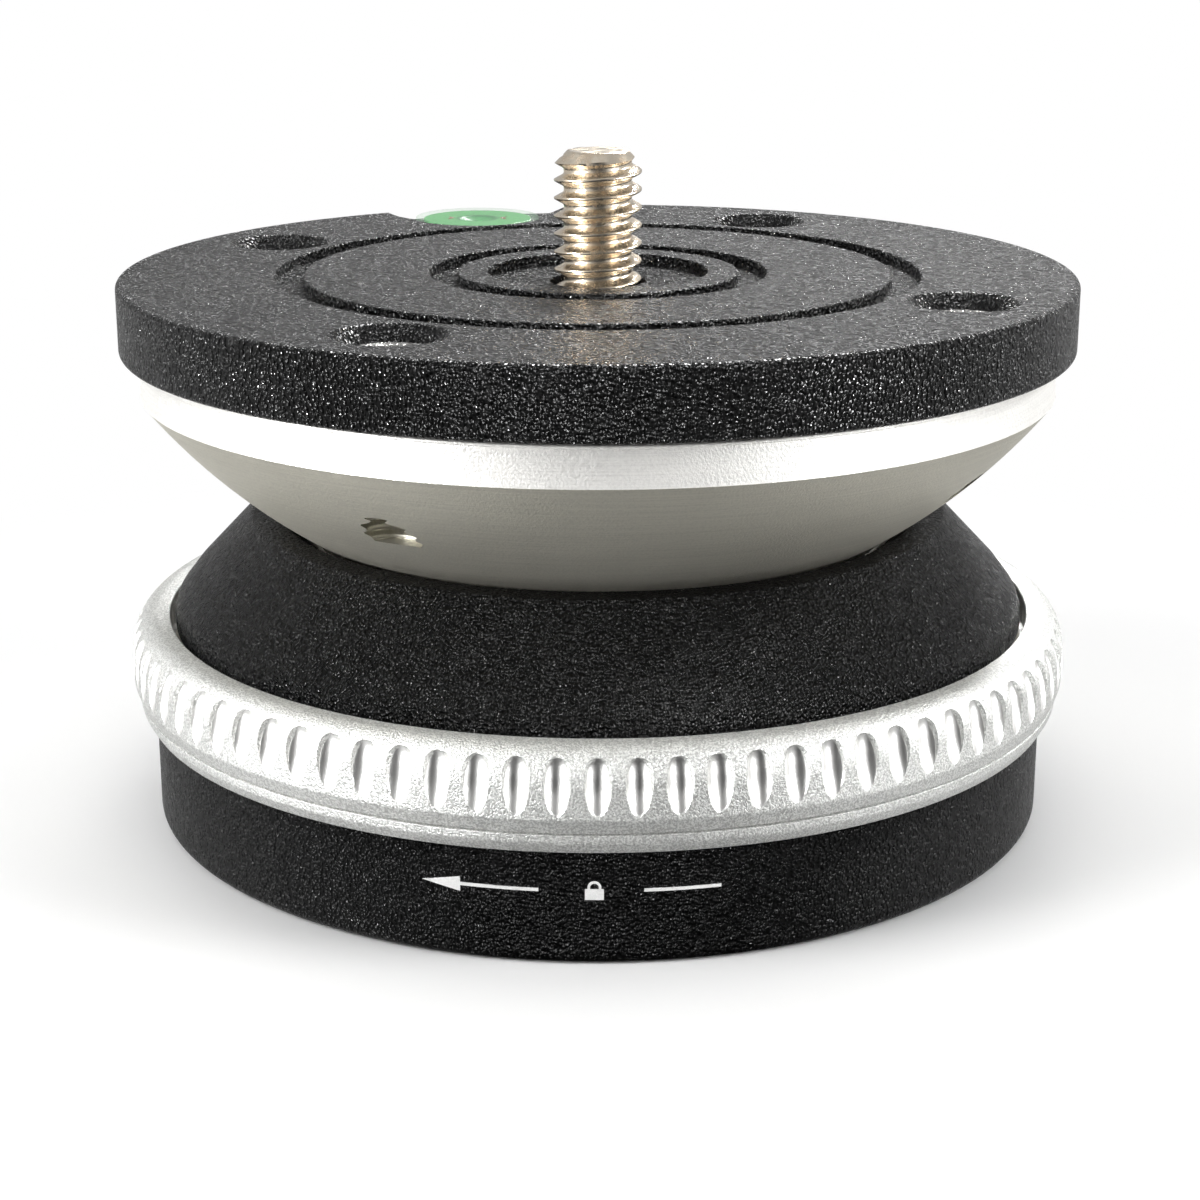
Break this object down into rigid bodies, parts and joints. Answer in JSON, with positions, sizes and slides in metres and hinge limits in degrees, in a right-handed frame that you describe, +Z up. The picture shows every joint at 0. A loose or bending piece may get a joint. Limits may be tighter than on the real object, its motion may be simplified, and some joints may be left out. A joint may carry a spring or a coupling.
{
  "type": "tripod leveling head",
  "caption": "Round levelling head: a flat platform on a half ball tilts in a dished neck and is locked by a fluted ring above a foot that takes a tripod screw.",
  "frame": {"origin": "centre of the foot's underside, on the head's axis", "axes": "+Z up along the head's axis, towards the stud; +X to the right and +Y away, seen from the side in the picture"},
  "size_m": [0.0684, 0.0684, 0.0475],
  "materials": {
    "black_coat": "black wrinkle powder coat on aluminium",
    "neck_coat": "finer black powder coat on aluminium",
    "satin_aluminium": "satin turned aluminium, brighter band at the top",
    "blasted_aluminium": "bead-blasted silver anodised aluminium",
    "stud_metal": "warm nickel-plated thread",
    "plain_steel": "turned steel",
    "spring_steel": "oiled spring steel",
    "black_steel": "black oxide steel",
    "slide_polymer": "low-friction slide polymer",
    "level_clear": "clear acrylic",
    "level_green": "light green level fluid",
    "level_white": "white backing"
  },
  "bodies": {
    "base": {"neck_housing": "neck_coat", "foot_cup": "black_coat", "tripod_bush": "plain_steel", "foot_screw_1": "black_steel", "foot_screw_2": "black_steel", "foot_screw_3": "black_steel", "foot_screw_4": "black_steel", "upper_slide_washer": "slide_polymer", "lower_slide_washer": "slide_polymer", "disc_spring_lower": "spring_steel", "disc_spring_upper": "spring_steel"},
    "ring": {"lock_ring": "blasted_aluminium"},
    "clamp": {"clamp_disc": "plain_steel", "pull_bolt": "black_steel", "clamp_nut": "plain_steel", "puller_plate": "plain_steel", "follower_pin_1": "plain_steel", "follower_pin_2": "plain_steel", "follower_pin_3": "plain_steel"},
    "tilt_direction_seat": {"neck_liner": "slide_polymer"},
    "tilt_seat": {"clamp_liner": "slide_polymer"},
    "platform": {"platform_plate": "black_coat", "half_ball": "satin_aluminium", "mount_stud": "stud_metal", "level_body": "level_clear", "level_fluid": "level_green", "level_back": "level_white"},
    "screw_1": {"set_screw_1": "black_steel"},
    "screw_2": {"set_screw_2": "black_steel"},
    "screw_3": {"set_screw_3": "black_steel"},
    "screw_4": {"set_screw_4": "black_steel"}
  },
  "joints": [
    {"name": "tilt_direction", "type": "hinge", "parent": "base", "child": "tilt_direction_seat", "pos_m": [0, 0, 0.05646], "axis": [0, 0, 1], "continuous": true},
    {"name": "tilt", "type": "hinge", "parent": "tilt_direction_seat", "child": "tilt_seat", "pos_m": [0, 0, 0.05646], "axis": [1, 0, 0], "range_deg": [-15, 15]},
    {"name": "swivel", "type": "hinge", "parent": "tilt_seat", "child": "platform", "pos_m": [0, 0, 0.05646], "axis": [0, 0, 1], "continuous": true},
    {"name": "lock_ring_turn", "type": "hinge", "parent": "base", "child": "ring", "pos_m": [0, 0, 0.0115], "axis": [0, 0, 1], "range_deg": [-25, 65]},
    {"name": "puller_slide", "type": "slide", "parent": "base", "child": "clamp", "axis": [0, 0, 1], "range_m": [-0.00017, 0.00044]},
    {"name": "set_screw_1_travel", "type": "slide", "parent": "platform", "child": "screw_1", "axis": [0, 0, 1], "range_m": [-0.0005, 0.0058]},
    {"name": "set_screw_2_travel", "type": "slide", "parent": "platform", "child": "screw_2", "axis": [0, 0, 1], "range_m": [-0.0005, 0.0058]},
    {"name": "set_screw_3_travel", "type": "slide", "parent": "platform", "child": "screw_3", "axis": [0, 0, 1], "range_m": [-0.0005, 0.0058]},
    {"name": "set_screw_4_travel", "type": "slide", "parent": "platform", "child": "screw_4", "axis": [0, 0, 1], "range_m": [-0.0005, 0.0058]}
  ],
  "couplings": [
    {"joint": "puller_slide", "follows": "lock_ring_turn", "m_per_rad": 0.00038197}
  ]
}
